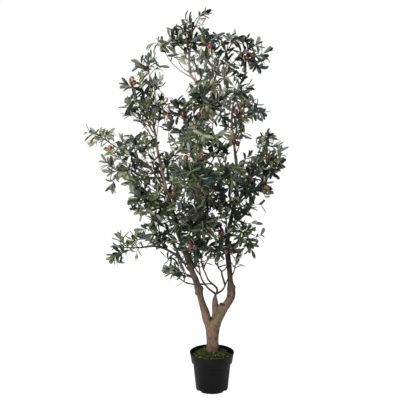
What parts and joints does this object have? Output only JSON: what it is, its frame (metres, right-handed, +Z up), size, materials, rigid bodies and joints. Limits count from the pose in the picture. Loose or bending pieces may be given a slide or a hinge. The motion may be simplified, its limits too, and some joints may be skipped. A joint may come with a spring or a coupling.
{
  "type": "artificial potted olive tree",
  "caption": "Artificial olive tree with a forked trunk, open boughs, sprays of narrow leaves and red olives, in a round nursery pot topped with moss.",
  "frame": {"origin": "centre of the pot's flat underside", "axes": "+Z up along the trunk, -Y towards the front, +X to the front view's right"},
  "size_m": [0.9669, 0.7705, 1.7987],
  "materials": {
    "black_plastic": "satin black moulded plastic",
    "cement": "rough cast cement",
    "moss": "matt preserved moss",
    "bark": "rough matt bark",
    "foliage": "satin cloth leaves, pale undersides, red olives"
  },
  "bodies": {
    "root": {"pot": "black_plastic", "plug": "cement", "moss": "moss", "trunk": "bark", "left_limb": "bark", "right_limb": "bark", "centre_stub": "bark", "middle_limb": "bark", "left_leader": "bark", "top_leader": "bark", "right_leader": "bark", "crown_bough": "bark", "far_left_bough": "bark", "left_low_bough": "bark", "low_left_bough": "bark", "right_far_bough": "bark", "right_low_bough": "bark", "front_low_bough": "bark", "front_high_bough": "bark", "back_low_bough": "bark", "back_high_bough": "bark", "top_spray": "foliage", "crown_left": "foliage", "crown_mid": "foliage", "crown_inner": "foliage", "crown_right": "foliage", "right_top_tip": "foliage", "left_high": "foliage", "left_shoulder": "foliage", "left_middle": "foliage", "inner_left": "foliage", "centre_high": "foliage", "centre_high_back": "foliage", "right_high": "foliage", "right_spray": "foliage", "centre_up_front": "foliage", "centre_up_back": "foliage", "right_inner": "foliage", "right_far_high": "foliage", "right_far": "foliage", "right_far_low": "foliage", "centre_right_front": "foliage", "centre_right_back": "foliage", "centre_front": "foliage", "centre_back": "foliage", "right_low": "foliage", "right_bottom": "foliage", "right_bottom_inner": "foliage", "far_left_tip": "foliage", "left_upper_outer": "foliage", "left_outer": "foliage", "left_mid_inner": "foliage", "left_low": "foliage", "left_low_inner": "foliage", "low_left_arm": "foliage", "low_left_small": "foliage", "centre_low_front": "foliage", "centre_low_back": "foliage", "stub_twigs": "foliage"}
  },
  "joints": []
}
